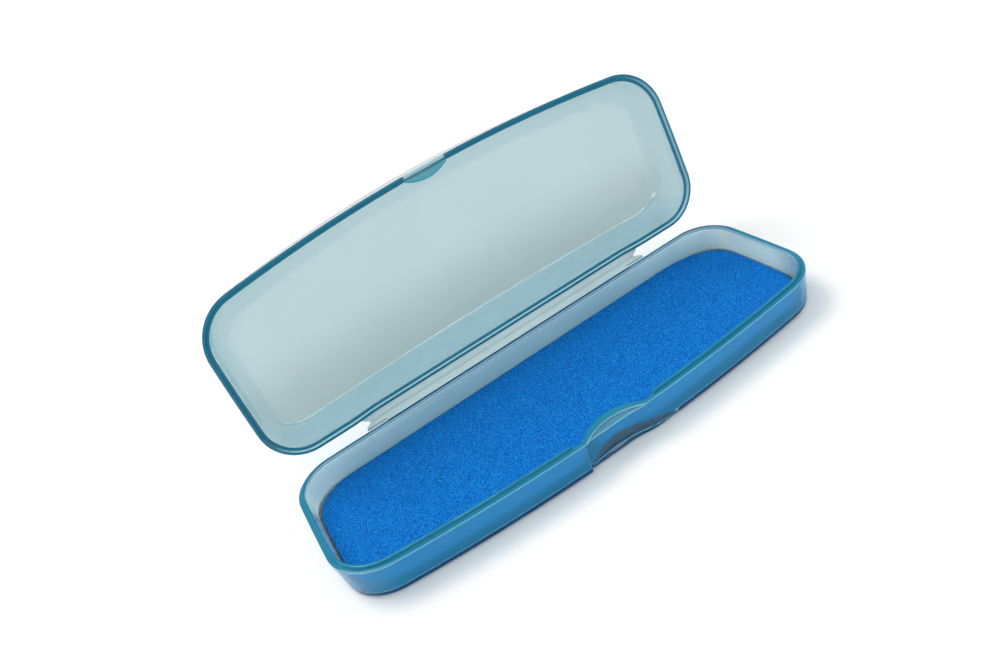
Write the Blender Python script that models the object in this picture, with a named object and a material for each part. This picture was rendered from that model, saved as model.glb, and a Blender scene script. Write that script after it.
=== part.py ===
"""Hinged spectacle case: tray and domed lid in translucent moulded plastic,
joined along the back by a thin living hinge, with a thumb scoop and a
crescent latch at the front and a felt liner taped to the tray's floor.

Frame: +X along the case, -Y the front (latch), +Y the hinge side, +Z up.
The origin is on the flat underside of the tray.  Metres.
The lid is modelled closed, about the hinge axis, and turned open by its
parent empty.
"""
import math

import bmesh
import bpy
import numpy as np
from mathutils import Matrix

for _o in list(bpy.data.objects):
    bpy.data.objects.remove(_o, do_unlink=True)

# ------------------------------------------------------------------ sizes, mm
LENGTH = 159.2          # between the sharp ends of the plan outline
DEPTH = 51.25           # hinge side to the front corners
FRONT_BOW = 6.15        # how far the front edge bows out at its middle
END_BOW = 0.38          # how far each end bows out
CORNER_BACK = 12.9      # tangent length of the back corners
CORNER_FRONT = 13.3     # tangent length of the front corners

BASE_RIM = 11.10        # height of the tray's outer ledge
TONGUE_TOP = 12.00      # height of the raised inner tongue
FLOOR = 1.50            # floor thickness
BASE_WALL_DRAFT = 0.60  # how far the outer wall leans in by the bottom
FOOT_RADIUS = 2.00      # outer radius where wall meets floor
INNER_RADIUS = 1.50     # inner radius where wall meets floor

SCOOP_HALF = 11.5       # half width of the thumb scoop at the rim
SCOOP_HALF_LOW = 14.0   # half width lower down
SCOOP_RIM = 2.50        # how far the rim steps back in the scoop

LID_GAP = 0.15          # lid's lip above the tray's ledge when closed
LID_TOP = 22.0          # lid's height above its rim at the middle
LID_ARCH = 5.0          # how much lower the top is towards the ends
LID_CROWN = 2.0         # how much the top falls away to the front
LID_WALL = 1.20         # lid's wall thickness
LIP_HEIGHT = 1.10       # lid's outer lip, which laps over the tongue

HINGE_Y = 27.65         # living hinge's axis, behind the back wall
HINGE_Z = 12.36
HINGE_HALF = 52.0       # half length of the hinge strip
HINGE_INNER = 46.0      # half length of the part that laps onto the ledge
OPEN_ANGLE = 102.4      # lid's angle from closed in the stored pose, degrees

LINER_THICK = 1.05
LINER_TOP = 3.30        # top of the liner at the middle of the tray
LINER_RISE = 1.20       # how far its edges curl up against the wall

CLEAR = 0.30            # gap kept between pieces that touch

# distances of the outline's points from the middle, along the long edges
EDGE_X = (2.5, 5.0, 7.5, 10.0, 12.5, 19.0, 28.0, 37.0, 46.5, 47.5, 56.0)
CORNER_POINTS = 5


# ------------------------------------------------------------- plan outlines
def _unit(v):
    return v / np.linalg.norm(v)


def _corner(p, tp, q, tq, count):
    """Points between p and q on a cubic that leaves along tp and arrives along tq."""
    ang = math.acos(max(-1.0, min(1.0, float(np.dot(tp, tq)))))
    chord = np.linalg.norm(q - p)
    h = chord / (2 * math.sin(ang / 2)) * 4 / 3 * math.tan(ang / 4)
    c1, c2 = p + tp * h, q - tq * h
    out = []
    for k in range(1, count + 1):
        t = k / (count + 1)
        out.append((1 - t) ** 3 * p + 3 * (1 - t) ** 2 * t * c1
                   + 3 * (1 - t) * t * t * c2 + t ** 3 * q)
    return out


def ring(back, front, end, corner_cut=None, bow=FRONT_BOW):
    """Plan outline inset by back, front and end; one loop of x, y points.

    It starts at the middle of the left end and runs by the back edge to the
    right end, then home along the front, so point i faces point -i.
    """
    cut = max(back, end) if corner_cut is None else corner_cut
    tb = max(CORNER_BACK - cut, 2.5)
    tf = max(CORNER_FRONT - (max(front, end) if corner_cut is None else corner_cut), 2.5)
    xe = LENGTH / 2 - end
    yb, yf = DEPTH / 2 - back, -DEPTH / 2 + front

    def end_pt(t):
        y = yb + (yf - yb) * t
        return np.array([xe + 4 * END_BOW * t * (1 - t), y])

    def end_tan(t):
        return _unit(np.array([4 * END_BOW * (1 - 2 * t), yf - yb]))

    span = yb - yf
    t0, t1 = tb / span, 1 - tf / span
    right_upper = [end_pt(t0), end_pt((t0 + 0.5) / 2)]
    right_lower = [end_pt((t1 + 0.5) / 2), end_pt(t1)]

    def front_y(x):
        return yf - bow * (1 - (x / xe) ** 2)

    xb, xf = xe - tb, xe - tf
    back_half = [np.array([x, yb]) for x in EDGE_X if x < xb - 0.5]
    back_half += [np.array([xb, yb])]
    front_half = [np.array([x, front_y(x)]) for x in EDGE_X if x < xf - 0.5]
    front_half += [np.array([xf, front_y(xf)])]
    c_back = _corner(np.array([xb, yb]), np.array([1.0, 0.0]),
                     end_pt(t0), end_tan(t0), CORNER_POINTS)
    ft = _unit(np.array([-1.0, -2 * bow * xf / xe ** 2]))
    c_front = _corner(end_pt(t1), end_tan(t1),
                      np.array([xf, front_y(xf)]), ft, CORNER_POINTS)
    right = back_half + c_back + right_upper + [end_pt(0.5)] \
        + right_lower + c_front + front_half[::-1]
    mid_back, mid_front = np.array([0.0, yb]), np.array([0.0, front_y(0.0)])
    left = [np.array([-p[0], p[1]]) for p in right]
    k = len(back_half) + len(c_back) + len(right_upper)      # index of the end's middle
    loop = left[:k + 1][::-1] + [mid_back] + right + [mid_front] + left[k + 1:][::-1]
    return np.array(loop)


def scoop(xy, depth, half):
    """Push the front edge's points back in the thumb scoop."""
    out = xy.copy()
    for p in out:
        if p[1] < 0 and abs(p[0]) < half:
            p[1] += depth * (1 - (p[0] / half) ** 2)
    return out


# ----------------------------------------------------------------- mesh tools
def new_object(name, bm, material, smooth=30.0, parent=None):
    bmesh.ops.recalc_face_normals(bm, faces=bm.faces)
    mesh = bpy.data.meshes.new(name)
    bm.to_mesh(mesh)
    bm.free()
    mesh.shade_smooth()
    mesh.set_sharp_from_angle(angle=math.radians(smooth))
    obj = bpy.data.objects.new(name, mesh)
    bpy.context.scene.collection.objects.link(obj)
    mesh.materials.append(material)
    if parent is not None:
        obj.parent = parent
    return obj


def cap(bm, loop_verts, height, rows):
    """Close a loop with a grid between facing points; height(x, y) gives z."""
    n = len(loop_verts)
    half = n // 2
    cols = []
    for i in range(1, half):
        a, b = loop_verts[i], loop_verts[n - i]
        col = [a]
        for j in range(1, rows):
            t = j / rows
            x = a.co.x + (b.co.x - a.co.x) * t
            y = a.co.y + (b.co.y - a.co.y) * t
            col.append(bm.verts.new((x, y, height(x / MM, y / MM) * MM)))
        col.append(b)
        cols.append(col)
    for a, b in zip(cols, cols[1:]):
        for j in range(rows):
            bm.faces.new((a[j], a[j + 1], b[j + 1], b[j]))
    first, last = loop_verts[0], loop_verts[half]
    for j in range(rows):
        bm.faces.new((first, cols[0][j + 1], cols[0][j]))
        bm.faces.new((last, cols[-1][j], cols[-1][j + 1]))


MM = 0.001


def loft(name, rings, cap_start, cap_end, material, rows=4, parent=None, shift=(0, 0)):
    """Closed body through a list of loops of x, y, z points in mm."""
    bm = bmesh.new()
    loops = []
    for pts in rings:
        loops.append([bm.verts.new((p[0] * MM, (p[1] - shift[0]) * MM,
                                    (p[2] - shift[1]) * MM)) for p in pts])
    n = len(loops[0])
    for a, b in zip(loops, loops[1:]):
        for i in range(n):
            j = (i + 1) % n
            bm.faces.new((a[i], a[j], b[j], b[i]))
    for loop, fn in ((loops[0], cap_start), (loops[-1], cap_end)):
        cap(bm, loop, lambda x, y, f=fn: f(x, y + shift[0]) - shift[1], rows)
    bmesh.ops.triangulate(bm, faces=bm.faces)
    return new_object(name, bm, material, parent=parent)


def slab(name, outline, z0, z1, material, bevel=0.0, parent=None, shift=(0, 0)):
    """Plan outline in mm, extruded from z0 to z1."""
    bm = bmesh.new()
    low = [bm.verts.new((x * MM, (y - shift[0]) * MM, (z0 - shift[1]) * MM))
           for x, y in outline]
    face = bm.faces.new(low)
    up = bmesh.ops.extrude_face_region(bm, geom=[face])
    moved = [g for g in up["geom"] if isinstance(g, bmesh.types.BMVert)]
    bmesh.ops.translate(bm, verts=moved, vec=(0, 0, (z1 - z0) * MM))
    if bevel:
        long_edges = [e for e in bm.edges if e.calc_length() > 1.2 * MM
                      and abs(e.verts[0].co.z - e.verts[1].co.z) < 1e-7]
        bmesh.ops.bevel(bm, geom=long_edges, offset=bevel * MM, segments=1,
                        affect="EDGES", clamp_overlap=True)
    bmesh.ops.triangulate(bm, faces=bm.faces)
    return new_object(name, bm, material, parent=parent)


def plastic(name, colour, rough, metallic=0.0, alpha=1.0):
    m = bpy.data.materials.new(name)
    m.use_nodes = True
    s = m.node_tree.nodes["Principled BSDF"]
    s.inputs["Base Color"].default_value = (*colour, 1.0)
    s.inputs["Roughness"].default_value = rough
    s.inputs["Metallic"].default_value = metallic
    s.inputs["Alpha"].default_value = alpha
    m.diffuse_color = (*colour, alpha)
    return m


def with_z(xy, z):
    z = np.broadcast_to(z, (len(xy),))
    return np.column_stack([xy, z])


# ------------------------------------------------------------------- the tray
def tray_ring(inset, z, depth, half=SCOOP_HALF):
    return with_z(scoop(ring(inset, inset, inset, inset), depth, half), z)


c45 = math.cos(math.radians(45))
wall_in = 2.45
base_rings = [
    tray_ring(wall_in + INNER_RADIUS, FLOOR, 2.2),
    tray_ring(wall_in + INNER_RADIUS * (1 - c45), FLOOR + INNER_RADIUS * (1 - c45), 2.3),
    tray_ring(wall_in, FLOOR + INNER_RADIUS, 2.4),
    tray_ring(2.25, 7.5, 2.45),
    tray_ring(2.05, TONGUE_TOP - 0.25, SCOOP_RIM),
    tray_ring(1.90, TONGUE_TOP, SCOOP_RIM),
    tray_ring(1.45, TONGUE_TOP, SCOOP_RIM),
    tray_ring(1.30, TONGUE_TOP - 0.15, SCOOP_RIM),
    tray_ring(1.30, BASE_RIM, SCOOP_RIM),
    tray_ring(0.15, BASE_RIM, 3.30),
    tray_ring(0.00, BASE_RIM - 0.15, 3.45),
    tray_ring(0.11, 9.05, 3.35),                       # seat of the latch catch
    tray_ring(0.115, 8.95, 0.90, SCOOP_HALF_LOW),
    tray_ring(0.35, 5.5, 2.0, SCOOP_HALF_LOW),
    tray_ring(BASE_WALL_DRAFT, FOOT_RADIUS, 2.4, SCOOP_HALF_LOW),
    tray_ring(BASE_WALL_DRAFT + FOOT_RADIUS * (1 - c45), FOOT_RADIUS * (1 - c45), 2.2,
              SCOOP_HALF_LOW),
    tray_ring(BASE_WALL_DRAFT + FOOT_RADIUS, 0.0, 2.0, SCOOP_HALF_LOW),
]
blue_tray = plastic("tray_plastic", (0.045, 0.265, 0.46), 0.12)
loft("base_shell", base_rings, lambda x, y: FLOOR, lambda x, y: 0.0, blue_tray)


# --------------------------------------------------- latch catch in the scoop
def outline_front(x):
    return -DEPTH / 2 - FRONT_BOW * (1 - (x / (LENGTH / 2)) ** 2)


def scoop_at(x, depth, half=SCOOP_HALF):
    return depth * (1 - (x / half) ** 2) if abs(x) < half else 0.0


xs = np.linspace(-9.0, 9.0, 13)
front_line = [(x, outline_front(x) + 0.55) for x in xs]
rear_line = [(x, outline_front(x) + scoop_at(x, 3.45) - CLEAR) for x in xs]
slab("latch_catch", front_line + rear_line[::-1], 9.35, 10.35,
     plastic("catch_plastic", (0.06, 0.30, 0.48), 0.12))


# ------------------------------------------------------- felt liner and tapes
def liner_ring(inset, top):
    xy = ring(inset, inset, inset, inset - 4.5)
    xy = scoop(xy, 2.45, SCOOP_HALF)
    k = max(0.0, (12.0 - inset) / 9.0) ** 2
    rise = LINER_RISE * (1 + 0.5 * xy[:, 0] / (LENGTH / 2)) * k
    z = LINER_TOP + rise - (0.0 if top else LINER_THICK)
    return with_z(xy, z)


liner_rings = [liner_ring(s, False) for s in (12.0, 8.0, 5.2, 3.4)]
liner_rings += [with_z(liner_ring(2.95, False)[:, :2],
                       liner_ring(2.95, False)[:, 2] + 0.5 * LINER_THICK)]
liner_rings += [liner_ring(s, True) for s in (3.4, 5.2, 8.0, 12.0)]
loft("liner_pad", liner_rings, lambda x, y: LINER_TOP - LINER_THICK,
     lambda x, y: LINER_TOP, plastic("liner_felt", (0.006, 0.13, 0.52), 0.95), rows=2)

tape = plastic("adhesive_tape", (0.75, 0.74, 0.70), 0.6)
for side, x0 in (("left", -45.0), ("right", 45.0)):
    slab(f"liner_tape_{side}",
         [(x0 - 20, -7), (x0 + 20, -7), (x0 + 20, 7), (x0 - 20, 7)],
         FLOOR + CLEAR, FLOOR + CLEAR + 0.15, tape)

# -------------------------------------------------------------------- the lid
axis = bpy.data.objects.new("lid_hinge_axis", None)
axis.empty_display_size = 0.01
axis.location = (0.0, HINGE_Y * MM, HINGE_Z * MM)
axis.rotation_euler = (math.radians(-OPEN_ANGLE), 0.0, 0.0)
bpy.context.scene.collection.objects.link(axis)
HINGE = (HINGE_Y, HINGE_Z)
LID_Z = BASE_RIM + LID_GAP


def top_height(x, y):
    """Outer height of the lid's top above its rim."""
    return LID_TOP - LID_ARCH * (x / 72.0) ** 2 - LID_CROWN * ((y - 9.0) / 25.0) ** 2


DRAFT = dict(back=2.6, front=0.7, end=2.2)        # inset reached at the wall's top
ROUND = dict(back=3.0, front=11.0, end=9.0)       # plan radius of the top edge
ROUND_H = dict(back=3.0, front=9.0, end=8.0)      # the same in height


def side_weights(xy):
    """Share of back, front and end in each point's outward direction."""
    d = np.roll(xy, -1, 0) - np.roll(xy, 1, 0)
    d /= np.linalg.norm(d, axis=1)[:, None]
    nx, ny = -d[:, 1], d[:, 0]
    return np.maximum(ny, 0) ** 2, np.maximum(-ny, 0) ** 2, nx ** 2


def lid_surface(offset):
    """Rings from the rim to the top, offset inwards by the wall's thickness."""
    grow = {k: max(v - 0.8 * offset, 1.2) for k, v in ROUND.items()}
    grow_h = {k: max(v - 0.8 * offset, 1.2) for k, v in ROUND_H.items()}

    def at(f, phi):
        g = 1 - math.cos(phi)
        return ring(offset + f * DRAFT["back"] + grow["back"] * g,
                    offset + f * DRAFT["front"] + grow["front"] * g,
                    offset + f * DRAFT["end"] + grow["end"] * g,
                    offset + 0.8 * f + 8.0 * g)

    last = at(1.0, math.pi / 2)
    t = np.array([top_height(x, y) for x, y in last]) - offset
    wb, wf, we = side_weights(at(0.0, 0.0))
    rh = wb * grow_h["back"] + wf * grow_h["front"] + we * grow_h["end"]
    wall = []
    for f in (0.25, 0.6, 1.0):
        wall.append(with_z(at(f, 0.0), LID_Z + f * (t - rh)))
    arc = []
    for deg in (22.5, 45.0, 67.5, 90.0):
        phi = math.radians(deg)
        arc.append(with_z(at(1.0, phi), LID_Z + t - rh * (1 - math.sin(phi))))
    return wall + arc


def lip_ring(inset, h, h_hinge):
    """Ring of the lid's rim; its lip stops short along the hinge strip."""
    xy = ring(inset, inset, inset, inset)
    z = np.full(len(xy), LID_Z + h)
    over = (xy[:, 1] > 0) & (np.abs(xy[:, 0]) < HINGE_INNER + 1.0) \
        & (xy[:, 1] > DEPTH / 2 - inset - 0.01)
    z[over] = LID_Z + h_hinge
    return with_z(xy, z)


lid_rings = lid_surface(LID_WALL)[::-1]
lid_rings += [
    lip_ring(1.90, 1.60, 1.75),
    lip_ring(1.75, LIP_HEIGHT, 1.50),
    lip_ring(1.05, LIP_HEIGHT, 1.40),
    lip_ring(0.95, LIP_HEIGHT - 0.10, 1.36),
    lip_ring(0.92, 0.12, 1.30),
    lip_ring(0.80, 0.00, 1.26),
    lip_ring(0.14, 0.00, 1.26),
    lip_ring(0.00, 0.14, 1.40),
]
lid_rings += lid_surface(0.0)
blue_lid = plastic("lid_plastic", (0.10, 0.36, 0.52), 0.12)
loft("lid_shell", lid_rings, lambda x, y: LID_Z + top_height(x, y) - LID_WALL,
     lambda x, y: LID_Z + top_height(x, y), blue_lid, parent=axis, shift=HINGE)

# crescent latch tab under the lid's front ledge
xs = np.linspace(-7.0, 7.0, 11)
outer_line = [(x, outline_front(x) + 0.95 + CLEAR) for x in xs]
inner_line = [(x, outline_front(x) + 1.45 + 1.95 * (1 - (x / 7.3) ** 2)) for x in xs]
slab("latch_tab", outer_line + inner_line[::-1], LID_Z + 0.08, LID_Z + 0.78,
     plastic("latch_plastic", (0.03, 0.28, 0.42), 0.12), parent=axis, shift=HINGE)

# ------------------------------------------------------------ the living hinge
LEAF_END = HINGE_Y - 0.48
strip = plastic("hinge_strip", (0.32, 0.48, 0.54), 0.2)
edge_y = DEPTH / 2 + CLEAR
slab("base_hinge_leaf",
     [(-HINGE_HALF, edge_y), (-HINGE_INNER, edge_y),
      (-HINGE_INNER, DEPTH / 2 - 1.30 + CLEAR), (HINGE_INNER, DEPTH / 2 - 1.30 + CLEAR),
      (HINGE_INNER, edge_y), (HINGE_HALF, edge_y),
      (HINGE_HALF - 0.8, LEAF_END), (-HINGE_HALF + 0.8, LEAF_END)],
     BASE_RIM + CLEAR, BASE_RIM + CLEAR + 0.70, strip)
slab("lid_hinge_leaf",
     [(-HINGE_HALF, edge_y - 0.15), (HINGE_HALF, edge_y - 0.15),
      (HINGE_HALF - 0.8, LEAF_END), (-HINGE_HALF + 0.8, LEAF_END)],
     HINGE_Z + 0.26, HINGE_Z + 0.96, strip, parent=axis, shift=HINGE)

# the film that bends, a thin strip on the axis itself
bm = bmesh.new()
bmesh.ops.create_cone(bm, cap_ends=True, segments=10, radius1=0.20 * MM, radius2=0.20 * MM,
                      depth=2 * (HINGE_HALF - 1.2) * MM,
                      matrix=Matrix.Rotation(math.pi / 2, 4, "Y"))
bmesh.ops.triangulate(bm, faces=bm.faces)
web = new_object("hinge_web", bm, strip)
web.location = (0.0, HINGE_Y * MM, HINGE_Z * MM)
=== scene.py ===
import math

import bmesh
import bpy
import numpy as np
from mathutils import Matrix, Vector


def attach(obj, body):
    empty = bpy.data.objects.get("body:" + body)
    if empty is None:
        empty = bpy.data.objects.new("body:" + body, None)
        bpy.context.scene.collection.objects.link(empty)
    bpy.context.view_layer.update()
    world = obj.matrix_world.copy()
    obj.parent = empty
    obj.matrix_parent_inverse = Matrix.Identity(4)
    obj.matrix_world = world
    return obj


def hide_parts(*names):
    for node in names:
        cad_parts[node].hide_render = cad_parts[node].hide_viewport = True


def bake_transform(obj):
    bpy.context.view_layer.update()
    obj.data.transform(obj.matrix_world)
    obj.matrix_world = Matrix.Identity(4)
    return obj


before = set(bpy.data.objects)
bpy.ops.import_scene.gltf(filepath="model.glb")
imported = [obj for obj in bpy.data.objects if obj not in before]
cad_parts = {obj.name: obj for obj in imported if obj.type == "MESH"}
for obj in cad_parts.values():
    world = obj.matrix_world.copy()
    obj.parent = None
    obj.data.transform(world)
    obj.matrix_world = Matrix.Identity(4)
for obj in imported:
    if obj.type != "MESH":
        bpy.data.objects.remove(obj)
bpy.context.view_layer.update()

MM = 0.001

# ---------------------------------------------------------------- sizes, in mm
LENGTH, DEPTH, FRONT_BOW, END_BOW = 159.2, 51.25, 6.15, 0.38
CORNER_BACK, CORNER_FRONT = 12.9, 13.3
BASE_RIM, TONGUE_TOP, FLOOR = 11.10, 12.00, 1.50
LID_Z = BASE_RIM + 0.15
HINGE_Y, HINGE_Z, OPEN = 27.65, 12.36, math.radians(102.4)
LID_TOP, LID_ARCH, LID_CROWN, LID_WALL = 22.0, 5.0, 2.0, 1.20


def smooth(a, b, x):
    t = np.clip((np.asarray(x, float) - a) / (b - a), 0, 1)
    return t * t * (3 - 2 * t)


# -------------------------------------------------------------- plan outlines
INNER_X = np.unique(np.concatenate([
    np.linspace(0.7, 9.1, 13), np.linspace(9.5, 10.9, 11), [11.4, 11.9, 12.4, 12.8],
    np.linspace(13.0, 13.7, 6), [14.4, 15.4, 16.6], np.linspace(18.0, 45.5, 19),
    [45.9, 46.2, 46.9, 48.2]]))
LID_X = np.concatenate([np.linspace(0.5, 45.5, 46), [45.9, 46.2, 46.9, 48.2]])
N_OUT, N_CORNER, N_END = 9, 18, 7


def unit(v):
    return v / np.linalg.norm(v)


def corner(p, tp, q, tq, count):
    ang = math.acos(max(-1.0, min(1.0, float(np.dot(tp, tq)))))
    chord = np.linalg.norm(q - p)
    h = chord / (2 * math.sin(ang / 2)) * 4 / 3 * math.tan(ang / 4)
    c1, c2 = p + tp * h, q - tq * h
    t = (np.arange(1, count + 1) / (count + 1))[:, None]
    return (1 - t) ** 3 * p + 3 * (1 - t) ** 2 * t * c1 + 3 * (1 - t) * t * t * c2 + t ** 3 * q


def ring(back, front=None, end=None, cut=None, bow=FRONT_BOW, cb=CORNER_BACK, cf=CORNER_FRONT,
         inner_x=INNER_X):
    """Plan outline with its own inset at back, front and end. Point i faces point -i."""
    front = back if front is None else front
    end = back if end is None else end
    tb = max(cb - (max(back, end) if cut is None else cut), 2.5)
    tf = max(cf - (max(front, end) if cut is None else cut), 2.5)
    xe, yb, yf = LENGTH / 2 - end, DEPTH / 2 - back, -DEPTH / 2 + front
    span = yb - yf

    def end_pt(t):
        return np.array([xe + 4 * END_BOW * t * (1 - t), yb + (yf - yb) * t])

    def end_tan(t):
        return unit(np.array([4 * END_BOW * (1 - 2 * t), yf - yb]))

    def front_y(x):
        return yf - bow * (1 - (x / xe) ** 2)

    t0, t1 = tb / span, 1 - tf / span
    upper = [end_pt(t0 + (0.5 - t0) * k / N_END) for k in range(N_END)]
    lower = [end_pt(0.5 + (t1 - 0.5) * k / N_END) for k in range(1, N_END + 1)]
    xb, xf = xe - tb, xe - tf

    def edge(x_end, fn):
        xs = list(inner_x) + [inner_x[-1] + (x_end - inner_x[-1]) * k / N_OUT
                              for k in range(1, N_OUT + 1)]
        return [np.array([x, fn(x)]) for x in xs]

    back_half = edge(xb, lambda x: yb)
    front_half = edge(xf, front_y)
    c_back = list(corner(back_half[-1], np.array([1.0, 0.0]), end_pt(t0), end_tan(t0), N_CORNER))
    ft = unit(np.array([-1.0, -2 * bow * xf / xe ** 2]))
    c_front = list(corner(end_pt(t1), end_tan(t1), front_half[-1], ft, N_CORNER))
    right = back_half + c_back + upper + [end_pt(0.5)] + lower + c_front + front_half[::-1]
    left = [np.array([-p[0], p[1]]) for p in right]
    k = len(back_half) + len(c_back) + len(upper)
    loop = left[:k + 1][::-1] + [np.array([0.0, yb])] + right \
        + [np.array([0.0, front_y(0.0)])] + left[k + 1:][::-1]
    return np.array(loop)


# ----------------------------------------------------------------- mesh tools
def make_object(name, bm, mats, angle=38.0):
    bmesh.ops.recalc_face_normals(bm, faces=bm.faces)
    me = bpy.data.meshes.new(name)
    bm.to_mesh(me)
    bm.free()
    me.shade_smooth()
    me.set_sharp_from_angle(angle=math.radians(angle))
    ob = bpy.data.objects.new(name, me)
    bpy.context.scene.collection.objects.link(ob)
    for m in (mats if isinstance(mats, (list, tuple)) else [mats]):
        me.materials.append(m)
    return ob


def cap(bm, verts, height, rows):
    n = len(verts)
    half = n // 2
    cols = []
    for i in range(1, half):
        a, b = verts[i], verts[n - i]
        col = [a]
        for j in range(1, rows):
            t = j / rows
            x, y = a.co.x + (b.co.x - a.co.x) * t, a.co.y + (b.co.y - a.co.y) * t
            col.append(bm.verts.new((x, y, height(x / MM, y / MM) * MM)))
        col.append(b)
        cols.append(col)
    for a, b in zip(cols, cols[1:]):
        for j in range(rows):
            bm.faces.new((a[j], a[j + 1], b[j + 1], b[j]))
    for j in range(rows):
        bm.faces.new((verts[0], cols[0][j + 1], cols[0][j]))
        bm.faces.new((verts[half], cols[-1][j], cols[-1][j + 1]))


def layers(bm):
    return [bm.verts.layers.float.new(k) for k in ("edge", "tone", "slate")]


def loft(name, rings, cap0, cap1, mats, rows=24, angle=38.0, edges=None, tones=None,
         slates=None, shade=None):
    """Closed body through loops of points in mm, both ends capped by a height function.
    edges gives each loop's thick-edge weight, which the plastic's pigment haze follows,
    tones its colour (0 wall blue, 0.25 pale, 0.5 rim teal, 1 the foot's navy) and slates
    its greyness; these three also carry painted highlight lines and painted shade.
    shade(x, y, z) raises edge and slate anywhere, as painted shade."""
    bm = bmesh.new()
    thick, tone, slate = layers(bm)
    loops = [[bm.verts.new((p[0] * MM, p[1] * MM, p[2] * MM)) for p in pts] for pts in rings]
    for k, loop in enumerate(loops):
        for layer, values in ((thick, edges), (tone, tones), (slate, slates)):
            if values is not None:
                for v, w in zip(loop, np.broadcast_to(values[k], len(loop))):
                    v[layer] = float(w)
    n = len(loops[0])
    for a, b in zip(loops, loops[1:]):
        for i in range(n):
            j = (i + 1) % n
            bm.faces.new((a[i], a[j], b[j], b[i]))
    cap(bm, loops[0], cap0, rows)
    cap(bm, loops[-1], cap1, rows)
    if shade:
        for v in bm.verts:
            w = float(shade(v.co.x / MM, v.co.y / MM, v.co.z / MM))
            if w > v[thick]:
                v[thick], v[slate] = w, 1.0
    return make_object(name, bm, mats, angle)


def turn_open(ob):
    """From the closed place to the stored open pose, about the hinge axis."""
    t = Matrix.Translation((0, HINGE_Y * MM, HINGE_Z * MM))
    ob.data.transform(t @ Matrix.Rotation(-OPEN, 4, "X") @ t.inverted())
    ob.data.update()
    return ob


def rounded(profile, steps=4):
    """Profile rows (values..., r): each corner with r > 0 becomes a small curve."""
    pts = [np.array(p[:-1], float) for p in profile]
    rad = [p[-1] for p in profile]
    out = [pts[0]]
    for k in range(1, len(pts) - 1):
        p, r = pts[k], rad[k]
        if r <= 0:
            out.append(p)
            continue
        a, b = pts[k - 1] - p, pts[k + 1] - p
        la, lb = np.linalg.norm(a[:2]), np.linalg.norm(b[:2])
        pa, pb = p + a * min(r / la, 0.49), p + b * min(r / lb, 0.49)
        n = steps if r < 1.0 else steps * 2
        for i in range(n + 1):
            t = i / n
            # a circular arc's shape, from a rational quadratic with weight 0.7071
            w0, w1, w2 = (1 - t) ** 2, 2 * t * (1 - t) * 0.7071, t * t
            out.append((w0 * pa + w1 * p + w2 * pb) / (w0 + w1 + w2))
    out.append(pts[-1])
    return out


# ------------------------------------------------------------------ materials
class Nodes:
    """Small helper to lay out a material's nodes."""

    def __init__(self, name):
        self.m = bpy.data.materials.new(name)
        self.m.use_nodes = True
        self.t = self.m.node_tree
        self.p = self.t.nodes["Principled BSDF"]
        self.out = self.t.nodes["Material Output"]

    def add(self, kind, **kw):
        n = self.t.nodes.new(kind)
        for k, v in kw.items():
            if k in n.inputs:
                n.inputs[k].default_value = v
            else:
                setattr(n, k, v)
        return n

    def link(self, a, b):
        self.t.links.new(a, b)

    def noise(self, coord, scale, detail=3.0, rough=0.5, distortion=0.0):
        n = self.add("ShaderNodeTexNoise")
        n.inputs["Scale"].default_value = scale
        n.inputs["Detail"].default_value = detail
        n.inputs["Roughness"].default_value = rough
        n.inputs["Distortion"].default_value = distortion
        self.link(coord, n.inputs["Vector"])
        return n.outputs["Fac"]

    def ramp(self, fac, stops):
        r = self.add("ShaderNodeValToRGB")
        e = r.color_ramp.elements
        while len(e) < len(stops):
            e.new(0.5)
        for k, (pos, col) in enumerate(stops):
            e[k].position = pos
            e[k].color = (*col, 1.0) if len(col) == 3 else col
        self.link(fac, r.inputs["Fac"])
        return r.outputs["Color"]

    def mapr(self, fac, a, b, lo=0.0, hi=1.0):
        n = self.add("ShaderNodeMapRange")
        n.inputs["From Min"].default_value = lo
        n.inputs["From Max"].default_value = hi
        n.inputs["To Min"].default_value = a
        n.inputs["To Max"].default_value = b
        self.link(fac, n.inputs["Value"])
        return n.outputs["Result"]


def srgb(r, g, b):
    def f(c):
        c /= 255.0
        return c / 12.92 if c <= 0.04045 else ((c + 0.055) / 1.055) ** 2.4
    return (f(r), f(g), f(b))


PALE = (0.58, 0.94, 1.0)


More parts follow.
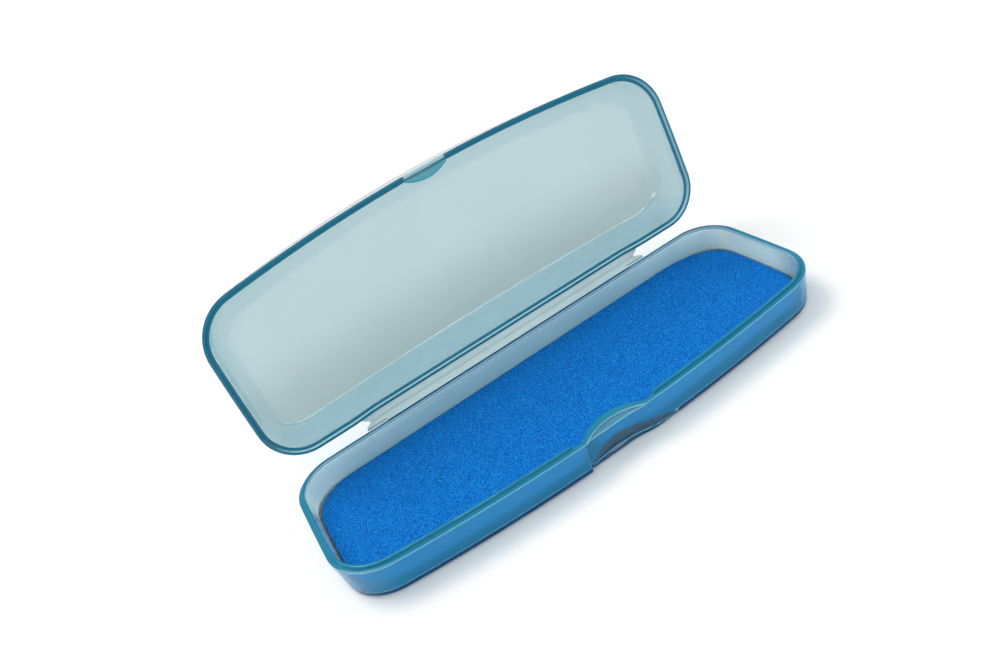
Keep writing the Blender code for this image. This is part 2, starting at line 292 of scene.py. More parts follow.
def tinted_plastic(name, per_mm, body, scatter, share, edge_share=0.30, rough=(0.045, 0.060),
                   ior=1.46, lamp=0.62):
    """Moulded plastic, clear in its body and tinted by depth, with a thin pigment haze."""
    n = Nodes(name)
    co = n.add("ShaderNodeTexCoord").outputs["Object"]
    blotch = n.noise(co, 45.0, 4.0, 0.55, 0.4)
    flow = n.noise(co, 28.0, 2.0, 0.4, 0.8)
    bump = n.add("ShaderNodeBump")
    bump.inputs["Strength"].default_value = 0.02
    bump.inputs["Distance"].default_value = 0.0005
    n.link(flow, bump.inputs["Height"])
    fine = n.add("ShaderNodeBump")
    fine.inputs["Strength"].default_value = 0.02
    fine.inputs["Distance"].default_value = 0.00002
    n.link(n.noise(co, 1800.0, 2.0, 0.5), fine.inputs["Height"])
    n.link(bump.outputs["Normal"], fine.inputs["Normal"])
    scuff = n.noise(co, 900.0, 2.0, 0.6)
    mul = n.add("ShaderNodeMath", operation="MULTIPLY")
    n.link(blotch, mul.inputs[0])
    n.link(scuff, mul.inputs[1])
    glossy = n.mapr(mul.outputs[0], rough[0], rough[1], 0.1, 0.45)

    p = n.p
    p.inputs["IOR"].default_value = ior
    p.inputs["Transmission Weight"].default_value = 1.0
    n.link(n.ramp(blotch, [(0.3, tuple(c * 0.97 for c in body)), (0.7, body)]),
           p.inputs["Base Color"])
    n.link(glossy, p.inputs["Roughness"])
    n.link(fine.outputs["Normal"], p.inputs["Normal"])

    haze = n.add("ShaderNodeBsdfPrincipled")
    haze.inputs["IOR"].default_value = ior
    haze.inputs["Specular IOR Level"].default_value = 0.2
    tone = n.add("ShaderNodeAttribute", attribute_name="tone")
    hue = n.ramp(tone.outputs["Fac"], [(0.0, scatter[0]), (0.25, PALE), (0.5, scatter[1]),
                                       (1.0, scatter[2])])
    # the slate attribute greys the pigment haze: painted shade
    slate = n.add("ShaderNodeAttribute", attribute_name="slate")
    grey = n.add("ShaderNodeMix", data_type="RGBA")
    n.link(slate.outputs["Fac"], grey.inputs["Factor"])
    n.link(hue, grey.inputs["A"])
    grey.inputs["B"].default_value = (*scatter[3], 1.0)
    vary = n.add("ShaderNodeMix", data_type="RGBA", blend_type="MULTIPLY")
    vary.inputs["Factor"].default_value = 1.0
    n.link(grey.outputs["Result"], vary.inputs["A"])
    n.link(n.ramp(blotch, [(0.3, (0.90, 0.93, 0.95)), (0.7, (1.0, 1.0, 1.0))]), vary.inputs["B"])
    n.link(vary.outputs["Result"], haze.inputs["Base Color"])
    n.link(glossy, haze.inputs["Roughness"])
    n.link(fine.outputs["Normal"], haze.inputs["Normal"])
    mix = n.add("ShaderNodeMixShader")
    thick = n.add("ShaderNodeAttribute", attribute_name="edge")
    n.link(n.mapr(thick.outputs["Fac"], share, edge_share), mix.inputs["Fac"])
    n.link(p.outputs["BSDF"], mix.inputs[1])
    n.link(haze.outputs["BSDF"], mix.inputs[2])
    surface = mix.outputs["Shader"]

    k = [-math.log(c) / MM for c in per_mm]          # absorbed per metre, in each colour
    density = max(k) * 1.02
    vol = n.add("ShaderNodeVolumeAbsorption")
    vol.inputs["Color"].default_value = (*[1 - v / density for v in k], 1.0)
    vol.inputs["Density"].default_value = density
    n.link(vol.outputs["Volume"], n.out.inputs["Volume"])
    if lamp:
        path = n.add("ShaderNodeLightPath")
        see = n.add("ShaderNodeBsdfTransparent")
        see.inputs["Color"].default_value = (0.86, 0.82, 0.80, 1.0)
        part = n.add("ShaderNodeMath", operation="MULTIPLY")
        part.inputs[1].default_value = lamp
        n.link(path.outputs["Is Shadow Ray"], part.inputs[0])
        mixs = n.add("ShaderNodeMixShader")
        n.link(part.outputs[0], mixs.inputs["Fac"])
        n.link(surface, mixs.inputs[1])
        n.link(see.outputs["BSDF"], mixs.inputs[2])
        surface = mixs.outputs["Shader"]
    n.link(surface, n.out.inputs["Surface"])
    return n.m


def felt(name):
    n = Nodes(name)
    co = n.add("ShaderNodeTexCoord").outputs["Object"]
    fine = n.noise(co, 3500.0, 2.0, 0.6)
    mid = n.noise(co, 5600.0, 1.0, 0.6, 0.3)
    wide = n.noise(co, 60.0, 3.0, 0.5)
    add = n.add("ShaderNodeMath", operation="ADD")
    half = n.add("ShaderNodeMath", operation="MULTIPLY")
    half.inputs[1].default_value = 0.55
    n.link(mid, half.inputs[0])
    n.link(fine, add.inputs[0])
    n.link(half.outputs[0], add.inputs[1])
    speck = n.ramp(n.mapr(add.outputs[0], 0.0, 1.0, 0.62, 0.93),
                   [(0.0, srgb(0, 66, 150)), (0.5, srgb(6, 108, 196)), (1.0, srgb(34, 156, 240))])
    tone = n.add("ShaderNodeMix", data_type="RGBA", blend_type="MULTIPLY")
    tone.inputs["Factor"].default_value = 1.0
    n.link(speck, tone.inputs["A"])
    n.link(n.ramp(wide, [(0.3, (0.93, 0.95, 0.97)), (0.7, (1.0, 1.0, 1.0))]), tone.inputs["B"])
    n.link(tone.outputs["Result"], n.p.inputs["Base Color"])
    n.link(n.mapr(fine, 0.86, 1.0), n.p.inputs["Roughness"])
    n.p.inputs["Sheen Weight"].default_value = 0.05
    n.p.inputs["Sheen Roughness"].default_value = 0.5
    n.p.inputs["Sheen Tint"].default_value = (0.45, 0.72, 1.0, 1.0)
    n.p.inputs["Specular IOR Level"].default_value = 0.05
    bump = n.add("ShaderNodeBump")
    bump.inputs["Strength"].default_value = 0.5
    bump.inputs["Distance"].default_value = 0.00022
    n.link(add.outputs[0], bump.inputs["Height"])
    n.link(bump.outputs["Normal"], n.p.inputs["Normal"])
    return n.m


def tape_material():
    n = Nodes("tape_paper")
    co = n.add("ShaderNodeTexCoord").outputs["Object"]
    fib = n.noise(co, 1500.0, 4.0, 0.7, 1.0)
    n.link(n.ramp(fib, [(0.3, srgb(216, 212, 200)), (0.7, srgb(238, 235, 226))]),
           n.p.inputs["Base Color"])
    n.link(n.mapr(fib, 0.55, 0.75), n.p.inputs["Roughness"])
    bump = n.add("ShaderNodeBump")
    bump.inputs["Strength"].default_value = 0.3
    bump.inputs["Distance"].default_value = 0.00003
    n.link(fib, bump.inputs["Height"])
    n.link(bump.outputs["Normal"], n.p.inputs["Normal"])
    return n.m


BLUE, TEAL, NAVY = (0.007, 0.31, 0.63), (0.016, 0.25, 0.40), (0.002, 0.08, 0.23)
TRAY_MAT = tinted_plastic("tray_plastic", (0.82, 0.925, 0.955), (0.92, 0.91, 0.89),
                          (BLUE, TEAL, NAVY, (0.045, 0.125, 0.215)), 0.04, edge_share=0.88)
LID_MAT = tinted_plastic("lid_plastic", (0.66, 0.84, 0.90), (0.83, 0.785, 0.755),
                         ((0.03, 0.52, 0.70), (0.003, 0.20, 0.335), (0.10, 0.50, 0.62),
                          (0.09, 0.17, 0.13)),
                         0.03, edge_share=0.85)
STRIP_MAT = tinted_plastic("hinge_plastic", (0.86, 0.94, 0.96), (0.93, 0.94, 0.94),
                           ((0.84, 0.97, 0.99), (0.84, 0.97, 0.99), NAVY, (0.26, 0.36, 0.39)),
                           0.72, edge_share=0.85, rough=(0.10, 0.20))
FELT_MAT = felt("liner_felt")

# -------------------------------------------------------------------- the tray
def par(x, half):
    return np.clip(1 - (x / half) ** 2, 0, 1)


def arc_out(x):
    """Inset of the rim's outer edge, which dips in at the thumb scoop."""
    return 3.65 * par(x, 9.9)


def arc_in(x):
    """Inset of the rim's inner edge."""
    side = 2.05 - 0.65 * smooth(13.8, 11.4, np.abs(x))
    return side + 4.6 * par(x, 10.3)


def chord(x):
    """Inset of the wall below the scoop's shelf: a crisp step at the left, fading at the right."""
    return 1.15 * smooth(-10.45, -9.85, x) * (1 - smooth(4.0, 12.5, x))


HOLLOW = np.array([(-9.9, 0.0), (-9.6, 1.4), (-9.0, 2.6), (-6.5, 5.0), (-4.0, 6.5), (-1.2, 7.45),
                   (1.6, 7.1), (4.5, 6.1), (7.5, 5.2), (11.7, 4.4), (15.0, 3.4), (17.4, 2.3),
                   (20.0, 0.0)])


def ledge(x):
    """Height of the foot's ledge, where the thumb hollow ends."""
    return np.maximum(1.75 - 0.5 * (x / 12.0) ** 2, 0.1)


def hollow(x, z):
    """How far the thumb hollow goes in, from its crease line down to the foot's ledge."""
    top, low = np.interp(x, HOLLOW[:, 0], HOLLOW[:, 1]), ledge(x)
    return 0.20 * np.clip(top - np.maximum(z, low), 0, None) * smooth(0.55 * low - 0.25, low, z)


def tray_ring(s, z, inset=None, height=None, edge=0.0, tone=0.5, slate=0.0):
    """One loop: inset s at height z, or inset(x) at height(x) along the front's middle."""
    xy = ring(s)
    x, front = xy[:, 0], (xy[:, 1] < 0) & (np.abs(xy[:, 0]) < 24.0)
    zz = np.full(len(x), float(z))
    if inset is not None:
        xy[:, 1] += np.where(front, inset(x) - s, 0)
    if height is not None:
        zz = np.where(front, height(x), zz)
    weight = edge(xy, zz) if callable(edge) else np.full(len(x), float(edge))
    TRAY_EDGES.append(weight)
    TRAY_TONES.append(tone(xy, zz) if callable(tone) else np.full(len(x), float(tone)))
    TRAY_SLATES.append(slate(xy, zz) if callable(slate) else np.full(len(x), float(slate)))
    return np.column_stack([xy[:, 0], xy[:, 1], zz])


def front_mid(xy):
    return (xy[:, 1] < 0) & (np.abs(xy[:, 0]) < 22)


def scoop_painted_highlight(xy):
    """A painted highlight line along the scoop's crisp left edge."""
    return np.where(front_mid(xy), smooth(0.24, 0.08, np.abs(xy[:, 0] + 10.22)), 0)


def lens(xy, z):
    """1 inside the thumb hollow."""
    top = np.where(front_mid(xy), np.interp(xy[:, 0], HOLLOW[:, 0], HOLLOW[:, 1]), 0)
    low = ledge(xy[:, 0])
    return smooth(0.1, 0.5, top - z) * smooth(low - 0.15, low, z)


def wall_edge(xy, z):
    """More pigment haze on the outside of the front wall. Near the foot it carries the navy band's painted shade, in
    the thumb hollow the hollow's painted shade, and on the scoop's left edge its painted highlight.
    """
    face = smooth(-4.0, -16.0, xy[:, 1])
    foot = smooth(3.0, 2.2, z) * 0.95
    w = np.maximum(np.maximum(0.08 + 0.56 * face, foot), 0.85 * lens(xy, z))
    return np.clip(np.maximum(w, scoop_painted_highlight(xy)), 0, 1)


def wall_tone(xy, z):
    """Blue, then a painted highlight line (pale) and a band of painted shade (navy) along the foot. The scoop's left
    edge takes the pale highlight tone too.
    """
    top = np.where(front_mid(xy), np.interp(xy[:, 0], HOLLOW[:, 0], HOLLOW[:, 1]), 0)
    low = ledge(xy[:, 0])
    z_line = z + (2.40 - low) * smooth(0.2, 1.2, top - low)
    t = np.interp(z_line, (1.95, 2.10, 2.20, 2.30), (1.0, 0.7, 0.25, 0.0))
    return t + (0.25 - t) * scoop_painted_highlight(xy) * smooth(2.2, 2.3, z)


# Painted shade: grey in the thumb hollow, left off the scoop's painted highlight line.
def hollow_painted_shade(xy, z):
    return lens(xy, z) * (1 - scoop_painted_highlight(xy))


TRAY_EDGES, TRAY_TONES, TRAY_SLATES = [], [], []


def mix_z(low, high, a, b):
    return lambda x: high + (low - high) * smooth(a, b, np.abs(x))


def between(t):
    return lambda x: arc_in(x) * (1 - t) + arc_out(x) * t


# Painted light: a pale haze (tone 0.235) lightens the tray's inner back wall.
inside = lambda xy, z: 0.60 * smooth(15.0, 21.0, xy[:, 1]) * smooth(1.5, 4.0, z)
rings = [tray_ring(9.0, FLOOR, lambda x: 9.0 + 1.6 * par(x, 12)),
         tray_ring(5.2, FLOOR, lambda x: 5.2 + 3.0 * par(x, 11))]
for t in np.radians(np.linspace(90, 0, 7)):
    ins = 2.45 + 1.5 * (1 - math.cos(t))
    rings.append(tray_ring(ins, FLOOR + 1.5 * (1 - math.sin(t)),
                           lambda x, i=ins: i + 3.6 * par(x, 10.8), edge=inside, tone=0.235))
rings.append(tray_ring(2.30, 6.5, lambda x: 2.30 + 3.8 * par(x, 10.6), edge=inside, tone=0.235))
rings.append(tray_ring(2.14, 9.6, lambda x: arc_in(x) + 0.09, edge=inside, tone=0.235))
rings.append(tray_ring(2.09, 10.9, lambda x: arc_in(x) + 0.04, edge=0.2, tone=0.22))
# the tongue, which stops at either side of the scoop
# The tongue's inner-edge rows (tone 0.27) are a painted highlight line, and the near-navy tone (0.95) along the
# hinge's middle is a painted shadow line.
rim_tone = lambda xy, z: np.where(xy[:, 1] > DEPTH / 2 - 4.0,
                                   np.where(np.abs(xy[:, 0]) < 46.0, 0.95, 0.58), 0.5)
tongue = (13.6, 13.15)
back_mid = lambda xy: (xy[:, 1] > 0) & (np.abs(xy[:, 0]) < 46.0)
for ins, z, low, t in ((2.06, 11.75, 11.00, 0.0), (2.02, 11.91, 11.06, 0.03),
                       (1.92, 11.98, 11.09, 0.09), (1.82, 12.0, 11.10, 0.15),
                       (1.50, 12.0, 11.10, 0.3), (1.40, 11.98, 11.10, 0.4),
                       (1.32, 11.90, 11.10, 0.5), (1.30, 11.80, 11.10, 0.6),
                       (1.30, 11.20, 11.10, 0.7), (1.22, 11.10, 11.10, 0.78)):
    rings.append(tray_ring(
        ins, z, lambda x, i=ins, t=t: i + (between(t)(x) - i) * smooth(13.6, 12.6, np.abs(x)),
        mix_z(low, z, *tongue), tone=lambda xy, z, i=ins: rim_tone(xy, z) if i < 2.04 else
        np.full(len(xy), 0.27), edge=lambda xy, z, i=ins: np.where(
            back_mid(xy) & (i < 1.45), 0.5, 1.0)))
# the ledge's outer edge, then the riser, the shelf and its front edge
for ins, z, hue in ((0.24, 11.10, 0.5), (0.10, 11.07, 0.5), (0.03, 11.00, 0.36), (0.0, 10.88, 0.05)):
    rings.append(tray_ring(ins, z, lambda x, i=ins: arc_out(x) + i, edge=1.0, tone=hue))
shelf = lambda xy: (np.abs(xy[:, 0]) < 9.6) & (xy[:, 1] < 0)
shelf_edge = lambda xy, z: np.where(shelf(xy), 0.85, 0.70)
for z, low, hue in ((10.74, 10.46, 0.47), (10.60, 10.36, 0.465)):
    rings.append(tray_ring(0.005, z, lambda x: arc_out(x) + 0.005, mix_z(low, z, 9.9, 9.0),
                           edge=shelf_edge, tone=lambda xy, z, h=hue: np.where(shelf(xy), h, 0.0)))
# The pale tone (0.25) along the shelf's front edge is a painted highlight line.
for z, low, more, hue in ((10.46, 10.34, 0.26, 0.465), (10.32, 10.30, 0.09, 0.25),
                          (10.16, 10.20, 0.01, 0.0)):
    rings.append(tray_ring(0.03, z, lambda x, m=more: 0.03 + np.minimum(arc_out(x), chord(x) + m),
                           mix_z(low, z, 9.9, 9.0), edge=shelf_edge,
                           tone=lambda xy, z, h=hue: np.where(shelf(xy), h, 0.0)))
for z in (9.9, 9.5, 9.0, 8.5, 8.0, 7.5, 7.0, 6.5, 6.0, 5.5, 5.0, 4.5, 4.0, 3.5, 3.0, 2.6, 2.3, 2.2,
          2.1, 1.95, 1.75, 1.6, 1.45):
    ins = 0.90 * (BASE_RIM - z) / BASE_RIM
    rings.append(tray_ring(
        ins, z, lambda x, i=ins, z=z: i + chord(x) + (np.minimum(arc_out(x), chord(x)) - chord(x))
        * float(smooth(9.3, 10.1, z)) + hollow(x, z), edge=wall_edge,
        tone=wall_tone, slate=hollow_painted_shade))
for t in np.radians(np.linspace(0, 90, 9)):
    ins, z = 0.80 + 1.3 * (1 - math.cos(t)), 1.3 * (1 - math.sin(t))
    rings.append(tray_ring(ins, z, lambda x, i=ins, z=z: i + chord(x) + hollow(x, z), edge=wall_edge,
        tone=wall_tone, slate=hollow_painted_shade))
rings.append(tray_ring(3.6, 0.0, lambda x: 3.6 + chord(x) + hollow(x, 0.4), edge=0.5, tone=1.0))
rings.append(tray_ring(9.0, 0.0, lambda x: 9.0 + 0.4 * (chord(x) + hollow(x, 0.6))))
tray = loft("tray_body", rings, lambda x, y: FLOOR, lambda x, y: 0.0, TRAY_MAT, rows=10,
            edges=TRAY_EDGES, tones=TRAY_TONES, slates=TRAY_SLATES, angle=32.0)
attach(tray, "tray")
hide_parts("base_shell", "latch_catch")

# --------------------------------------------------------------------- the lid
def front_line(x):
    return -DEPTH / 2 - FRONT_BOW * (1 - (x / (LENGTH / 2)) ** 2)


def top_height(x, y):
    return LID_TOP - LID_ARCH * (x / 72.0) ** 2 - LID_CROWN * ((y - 9.0) / 25.0) ** 2


DRAFT = dict(back=2.6, front=0.7, end=2.2)
ROUND = dict(back=2.2, front=11.0, end=9.0)
ROUND_H = dict(back=2.2, front=9.0, end=8.0)


def side_weights(xy):
    d = np.roll(xy, -1, 0) - np.roll(xy, 1, 0)
    d /= np.linalg.norm(d, axis=1)[:, None]
    nx, ny = -d[:, 1], d[:, 0]
    return np.maximum(ny, 0) ** 2, np.maximum(-ny, 0) ** 2, nx ** 2


LEAN = dict(back=math.radians(7.7), front=math.radians(3.4), end=math.radians(12.0))


def lid_surface(offset, f_from):
    """Drafted walls that turn smoothly into the top through rounded shoulders."""
    grow = {k: max(v - 0.8 * offset, 1.0) for k, v in ROUND.items()}
    grow_h = {k: max(v - 0.8 * offset, 1.0) for k, v in ROUND_H.items()}

    def phi(k, u):
        return LEAN[k] + (math.pi / 2 - LEAN[k]) * u

    def at(f, u):
        g = {k: grow[k] * (math.cos(LEAN[k]) - math.cos(phi(k, u))) for k in ROUND}
        return ring(offset + f * DRAFT["back"] + g["back"],
                    offset + f * DRAFT["front"] + g["front"],
                    offset + f * DRAFT["end"] + g["end"],
                    offset + 0.8 * f + 8.0 * (1 - math.cos(u * math.pi / 2)), inner_x=LID_X)

    last = at(1.0, 1.0)
    t = np.array([top_height(x, y) for x, y in last]) - offset
    weights = dict(zip(("back", "front", "end"), side_weights(at(0.0, 0.0))))

    def below(u):
        return sum(weights[k] * grow_h[k] * (1 - math.sin(phi(k, u))) for k in ROUND)

    rings = []
    for f in np.linspace(f_from, 1.0, 9):
        rings.append(np.column_stack([at(f, 0.0), LID_Z + f * (t - below(0.0))]))
    for u in np.linspace(0, 1, 15)[1:]:
        rings.append(np.column_stack([at(1.0, u), LID_Z + t - below(u)]))
    return rings


def pocket(xy):
    """1 along the front where the latch tab's pocket takes the place of the lip."""
    return np.where(xy[:, 1] < 0, smooth(7.2, 6.4, np.abs(xy[:, 0])), 0)


def lip_shape(s, h, hh):
    """A ring of the lid's rim, whose lip stops short along the hinge strip."""
    xy = ring(s, inner_x=LID_X)
    back = xy[:, 1] > DEPTH / 2 - s - 0.01
    k = np.where(back, smooth(56.0, 46.2, np.abs(xy[:, 0])), 0)
    xy[:, 1] -= pocket(xy) * 0.75 * max(0.0, s - 1.15)
    return np.column_stack([xy, LID_Z + h + (hh - h) * k])


LIP_H = 1.10
# s, h, h along the strip, edge weight, colour, corner radius
lip_profile = [
    (1.86, 1.85, 2.85, 0.15, 0.25, 0),
    (1.88, 1.45, 2.50, 0.9, 0.30, 0),
    (1.92, LIP_H, 2.15, 1, 0.5, 0.16),
    (1.55, LIP_H, 2.13, 1, 0.62, 0),
    (1.15, LIP_H, 2.12, 1, 0.56, 0),
    (0.95, LIP_H, 2.10, 1, 0.27, 0.10),
    (0.90, 0.00, 1.24, 1, 0.27, 0.14),
    (0.70, 0.00, 1.24, 1, 0.56, 0),
    (0.45, 0.00, 1.24, 1, 0.62, 0),
    (0.00, 0.00, 1.24, 1, 0.5, 0.20),
    (0.01, 0.90, 1.60, 0.6, 0.5, 0),
]
lip_profile = rounded(lip_profile, 4)
lips = [lip_shape(*p[:3]) for p in lip_profile]
open_ = pocket(ring(0.0, inner_x=LID_X))
inner, outer = lid_surface(LID_WALL, 0.40)[::-1], lid_surface(0.0, 0.22)
# the wall behind the crease is a little bluer, and the crease itself gets a painted highlight line
bk = side_weights(ring(0.0, inner_x=LID_X))[0]
crease = {11: 0.22, 12: 0.5, 13: 1.0, 14: 1.0, 15: 0.5}


# how strong the crease's painted highlight is along its length
crease_painted_glint = 0.60 + 0.40 * np.abs(ring(0.0, inner_x=LID_X)[:, 0]) / 70.0


def fade(rows, line=False):
    out = []
    for k in range(len(rows)):
        out.append(bk * (crease[k] * crease_painted_glint if line and k in crease
                         else (0.26 if line else 0.14) * float(smooth(13, 8, k))))
    return out


edges = fade(inner, True)[::-1] + [float(p[3]) * (1 - 0.1 * open_) for p in lip_profile] + fade(outer)
# tones: a painted highlight line (pale) on the crease rows, the rows behind the crease a little bluer; slates: a
# painted dark line beside the crease
pale = [0.25 * (k in (13, 14, 15, 16)) + 0.12 * (k < 11) for k in range(len(inner))]
crease_painted_shade = [1.0 * (k in (11, 12)) for k in range(len(inner))]
# the lip's riser gets a painted highlight (a pale tone) where it faces up, at the hinge and the right end
wb, wf, we = side_weights(ring(0.0, inner_x=LID_X))
riser_painted_highlight = np.clip(1.6 * wb + 1.2 * we * (ring(0.0, inner_x=LID_X)[:, 0] > 0), 0, 1)


def lip_tone(t):
    if t < 0.45:
        t = t * riser_painted_highlight + 0.5 * (1 - riser_painted_highlight)
    return t * (1 - open_) + 0.26 * open_


tones = pale[::-1] + [lip_tone(float(p[4])) for p in lip_profile] + [0.0] * len(outer)
slates = crease_painted_shade[::-1] + [0.0] * (len(lip_profile) + len(outer))


def lid_shade(x, y, z):
    """Painted shade: the panel darkens a little towards the crease. The front wall is a little grey."""
    panel = 0.12 * float(smooth(-2.0, 17.0, y) * smooth(LID_Z + 9.0, LID_Z + 15.0, z)
                         * smooth(22.8, 21.0, y))
    inset = y - front_line(x)
    return max(panel, 0.13 * float(smooth(2.6, 1.6, inset) * smooth(LID_Z + 1.5, LID_Z + 3.0, z)))


lid = loft("lid_body", inner + lips + outer,
           lambda x, y: LID_Z + top_height(x, y) - LID_WALL,
           lambda x, y: LID_Z + top_height(x, y), LID_MAT, rows=26, edges=edges, tones=tones,
           slates=slates, shade=lid_shade)
turn_open(lid)
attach(lid, "lid")
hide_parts("lid_shell")


# --------------------------------------------------------------- the latch tab
def loft_x(name, stations, mats, angle=38.0, edge=0.0, hue=0.5, slate=0.0):
    """Closed body through cross-sections (lists of x, y, z), ends capped. edge, hue and
    slate are single values or one per point of the section."""
    bm = bmesh.new()
    kinds = layers(bm)
    loops = [[bm.verts.new((p[0] * MM, p[1] * MM, p[2] * MM)) for p in s] for s in stations]
    for layer, values in zip(kinds, (edge, hue, slate)):
        for loop in loops:
            for v, w in zip(loop, np.broadcast_to(values, len(loop))):
                v[layer] = float(w)
    n = len(loops[0])
    for a, b in zip(loops, loops[1:]):
        for i in range(n):
            j = (i + 1) % n
            bm.faces.new((a[i], a[j], b[j], b[i]))
    bm.faces.new(loops[0])
    bm.faces.new(loops[-1][::-1])
    return make_object(name, bm, mats, angle)


stations = []
for x in np.linspace(-7.05, 7.05, 57):
    bulge = 2.15 * (1 - (x / 7.2) ** 2) ** 0.9
    y0 = front_line(x)
    so, si = 0.98, 1.92 + bulge        # from the lip's inner face to the tab's inner face
    wall = 0.80 * bulge + 0.5
    sect = [(so, 1.07), (so, 0.86), (si - wall, 0.86), (si - wall, 0.14),
            (si - wall + 0.08, 0.06), (si - 0.42, 0.05), (si - 0.34, 0.05), (si - 0.20, 0.05),
            (si - 0.12, 0.05), (si, 0.12), (si, 0.98), (si - 0.08, 1.07)]
    stations.append([(x, y0 + s, LID_Z + h) for s, h in sect])
# The pale tones (0.26 to 0.28) on the tab's outer face and along its inner lower corner are painted highlight lines.
tab = loft_x("latch_tab_crescent", stations, LID_MAT,
             edge=(0.6, 0.6, 0.7, 0.75, 0.8, 0.8, 1.0, 1.0, 1.0, 1.0, 0.9, 0.5),
             hue=(0.26, 0.26, 0.8, 0.9, 1.0, 1.0, 0.5, 0.5, 0.28, 0.27, 0.5, 0.5))
turn_open(tab)
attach(tab, "lid")
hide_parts("latch_tab")

# ------------------------------------------------------------- the hinge strip
def to_open(y, z):
    dy, dz = y - HINGE_Y, z - HINGE_Z
    c, s = math.cos(-OPEN), math.sin(-OPEN)
    return HINGE_Y + dy * c - dz * s, HINGE_Z + dy * s + dz * c


# upper face from tray to lid, then the lower face back; closed heights of the lid's leaf
# mirror the tray's about the axis
tray_top = [(25.66, 12.03), (26.2, 12.10), (26.7, 12.15), (27.05, 12.18), (27.25, 12.24), (27.45, 12.26)]
tray_low = [(25.66, 11.25), (26.2, 11.36), (26.7, 11.50), (27.05, 11.66), (27.25, 11.98), (27.45, 12.10)]
half_at = [(25.66, 52.6), (26.2, 52.4), (26.7, 51.8), (27.05, 51.2), (27.25, 50.8), (27.45, 50.6)]
# rest pose: tray leaf as it is, lid leaf opened
top = list(tray_top)
low = list(tray_low)
lid_top = [to_open(y, 2 * HINGE_Z - z) for y, z in tray_top][::-1]
lid_low = [to_open(y, 2 * HINGE_Z - z) for y, z in tray_low][::-1]
web_in = [(HINGE_Y - 0.10, HINGE_Z + 0.10)]
web_out = [(HINGE_Y + 0.10, HINGE_Z - 0.12)]
upper = top + [(HINGE_Y - 0.07, HINGE_Z + 0.06)] + lid_top
lower = low + [(HINGE_Y + 0.16, HINGE_Z - 0.14)] + lid_low
halves = [h for _, h in half_at] + [50.4] + [h for _, h in half_at][::-1]
contour = [(p, h) for p, h in zip(upper, halves)] + [(p, h) for p, h in zip(lower, halves)][::-1]
stations = []
for xi in np.linspace(-1, 1, 61):
    stations.append([(xi * h, p[0], p[1]) for p, h in contour])
# painted highlight lines at the leaves' edges and the web, with painted shade lines either side of the web
strip_painted_highlights = [0, 0, 0.8, 0, 0, 0.5, 1.0, 0.5, 0, 0, 0.8, 0, 0]
hues = [0.5, 0.5, 0.25, 0.5, 0.5, 0.5, 0.25, 0.5, 0.5, 0.5, 0.25, 0.5, 0.5]
strip_painted_shade = [0, 0, 0, 0.0, 0.0, 0.9, 0.0, 0.9, 0.0, 0.0, 0, 0, 0]
strip = loft_x("hinge_strip", stations, STRIP_MAT, 50.0, edge=strip_painted_highlights + [0.0] * 13,
               hue=hues + [0.5] * 13, slate=strip_painted_shade + [0.0] * 13)
strip.data.update()
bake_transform(strip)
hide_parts("hinge_web", "lid_hinge_leaf", "base_hinge_leaf")

# the part of the tray's leaf that laps onto the ledge
stations = []
for xi in np.linspace(-1, 1, 61):
    sect = [(24.47, 11.16), (24.42, 11.22), (24.42, 11.92), (24.50, 12.00), (25.60, 12.03),
            (25.60, 11.16)]
    stations.append([(xi * (46.0 - (0.25 if k in (1, 2, 3) else 0)), y, z)
                     for k, (y, z) in enumerate(sect)])
land = loft_x("hinge_land", stations, STRIP_MAT, 38.0)
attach(land, "tray")

# --------------------------------------------------------------- the felt liner
rng = np.random.default_rng(7)


def liner_ring(s, top, drop=0.0):
    xy = ring(s, cut=s - 3.0)
    x, front = np.abs(xy[:, 0]), xy[:, 1] < 0
    xy[:, 1] += np.where(front, par(x, 10.9), 0) * 3.7
    k = max(0.0, (12.0 - s) / 9.0) ** 2
    z = 3.30 + 1.2 * (1 + 0.5 * xy[:, 0] / 79.6 - 1.1 * smooth(56, 72, xy[:, 0])) * k - (0.0 if top else 1.05) - drop
    return np.column_stack([xy, z])


rings = [liner_ring(s, False) for s in (12.0, 10.0, 8.0, 6.5, 5.0, 4.0, 3.4, 3.1)]
rings += [liner_ring(2.97, False, -0.2), liner_ring(2.93, True, 0.5), liner_ring(2.97, True, 0.2),
          liner_ring(3.1, True, 0.06)]
rings += [liner_ring(s, True) for s in (3.4, 3.8, 4.4, 5.0, 5.8, 6.6, 7.5, 8.5, 9.5, 10.5, 12.0)]
liner = loft("liner_felt_pad", rings, lambda x, y: 2.25, lambda x, y: 3.30, FELT_MAT, rows=30)
co = np.zeros(len(liner.data.vertices) * 3)
liner.data.vertices.foreach_get("co", co)
co = co.reshape(-1, 3)
# the felt's slight unevenness
wob = 0.00005 * np.sin(co[:, 0] * 310 + 1.3) * np.sin(co[:, 1] * 270 + 0.4) \
    + 0.00003 * np.sin(co[:, 0] * 820 + co[:, 1] * 610)
co[:, 2] += wob + rng.normal(0, 0.000012, len(co))
liner.data.vertices.foreach_set("co", co.ravel())
liner.data.update()
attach(liner, "tray")
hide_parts("liner_pad")

# the tapes keep their CAD solids
TAPE = tape_material()
for node in ("liner_tape_left", "liner_tape_right"):
    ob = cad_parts[node]
    ob.data.materials.clear()
    ob.data.materials.append(TAPE)

# ---------------------------------------------------------- floor, light, camera
def floor_material():
    n = Nodes("floor_white")
    co = n.add("ShaderNodeTexCoord").outputs["Object"]
    n.link(n.ramp(n.noise(co, 6.0, 2.0), [(0.3, (0.93, 0.935, 0.94)), (0.7, (0.95, 0.955, 0.96))]),
           n.p.inputs["Base Color"])
    n.p.inputs["Roughness"].default_value = 0.9
    n.p.inputs["Specular IOR Level"].default_value = 0.1
    return n.m


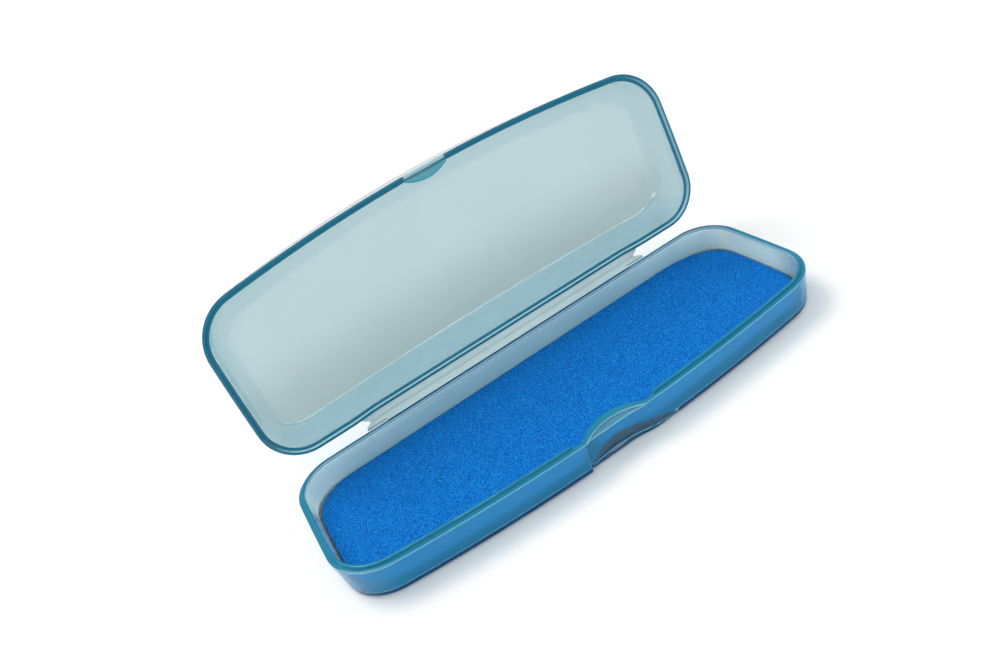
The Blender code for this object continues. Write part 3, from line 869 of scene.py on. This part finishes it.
bm = bmesh.new()
bmesh.ops.create_grid(bm, x_segments=8, y_segments=8, size=30.0)
bmesh.ops.translate(bm, verts=bm.verts, vec=(0, 0, -0.00005))
floor = make_object("studio_floor", bm, floor_material())

scene = bpy.context.scene
world = bpy.data.worlds.new("studio_world")
world.use_nodes = True
world.node_tree.nodes["Background"].inputs["Color"].default_value = (1.0, 0.98, 0.95, 1.0)
world.node_tree.nodes["Background"].inputs["Strength"].default_value = 0.54
# the lens sees plain white beyond the floor's edge
seen = world.node_tree.nodes.new("ShaderNodeBackground")
seen.inputs["Color"].default_value = (1.0, 1.0, 1.0, 1.0)
seen.inputs["Strength"].default_value = 1.0
which = world.node_tree.nodes.new("ShaderNodeLightPath")
either = world.node_tree.nodes.new("ShaderNodeMixShader")
world.node_tree.links.new(which.outputs["Is Camera Ray"], either.inputs["Fac"])
world.node_tree.links.new(world.node_tree.nodes["Background"].outputs["Background"], either.inputs[1])
world.node_tree.links.new(seen.outputs["Background"], either.inputs[2])
world.node_tree.links.new(either.outputs["Shader"], world.node_tree.nodes["World Output"].inputs["Surface"])
scene.world = world
scene.view_settings.view_transform = "Standard"
scene.view_settings.look = "None"
scene.view_settings.exposure = 0.0


def area(name, loc, target, size, power, colour=(1, 1, 1)):
    li = bpy.data.lights.new(name, "AREA")
    li.shape = "RECTANGLE"
    li.size, li.size_y = size
    li.energy = power
    li.color = colour
    ob = bpy.data.objects.new(name, li)
    scene.collection.objects.link(ob)
    ob.location = loc
    ob.rotation_euler = (Vector(target) - Vector(loc)).to_track_quat("-Z", "Y").to_euler()
    return ob


for tag, energy, spread, aim in (("key_sun", 1.84, 34, (0.34, -0.55, -1.0)),
                                 ("front_sun", 0.50, 40, (-0.10, 0.75, -1.0))):
    sun = bpy.data.lights.new(tag, "SUN")
    sun.energy = energy
    sun.angle = math.radians(spread)
    sun_ob = bpy.data.objects.new(tag, sun)
    scene.collection.objects.link(sun_ob)
    sun_ob.rotation_euler = Vector(aim).to_track_quat("-Z", "Y").to_euler()
for tag, place, aim, size, power in (
        ("strip_over", (0.16, -0.30, 0.55), (0.0, 0.03, 0.02), (0.6, 0.16), 2.2),
        ("strip_left", (-0.60, -0.10, 0.40), (0.0, 0.03, 0.02), (0.4, 0.14), 1.3)):
    gloss = area(tag, place, aim, size, power)
    gloss.visible_diffuse = False
    gloss.visible_camera = False
    gloss.visible_transmission = False

AZ, EL, ROLL = (math.radians(a) for a in (-16.025, 32.747, -23.408))
DIST, FOCAL, TX, TY = 287.674, 829.686, 4.200, 49.558
back = np.array([math.sin(AZ) * math.cos(EL), -math.cos(AZ) * math.cos(EL), math.sin(EL)])
right = np.array([math.cos(AZ), math.sin(AZ), 0.0])
up = np.cross(back, right)
rx = math.cos(ROLL) * right + math.sin(ROLL) * up
ry = -math.sin(ROLL) * right + math.cos(ROLL) * up
pos = (np.array([TX, TY, 0.0]) + back * DIST) * MM
cam = bpy.data.cameras.new("photo_camera")
cam.sensor_fit = "HORIZONTAL"
cam.sensor_width = 36.0
cam.lens = FOCAL / 1000.0 * 36.0
cam.clip_start = 0.005
cam_ob = bpy.data.objects.new("photo_camera", cam)
cam_ob.matrix_world = Matrix(((rx[0], ry[0], back[0], pos[0]), (rx[1], ry[1], back[1], pos[1]),
                              (rx[2], ry[2], back[2], pos[2]), (0, 0, 0, 1)))
scene.collection.objects.link(cam_ob)
scene.camera = cam_ob
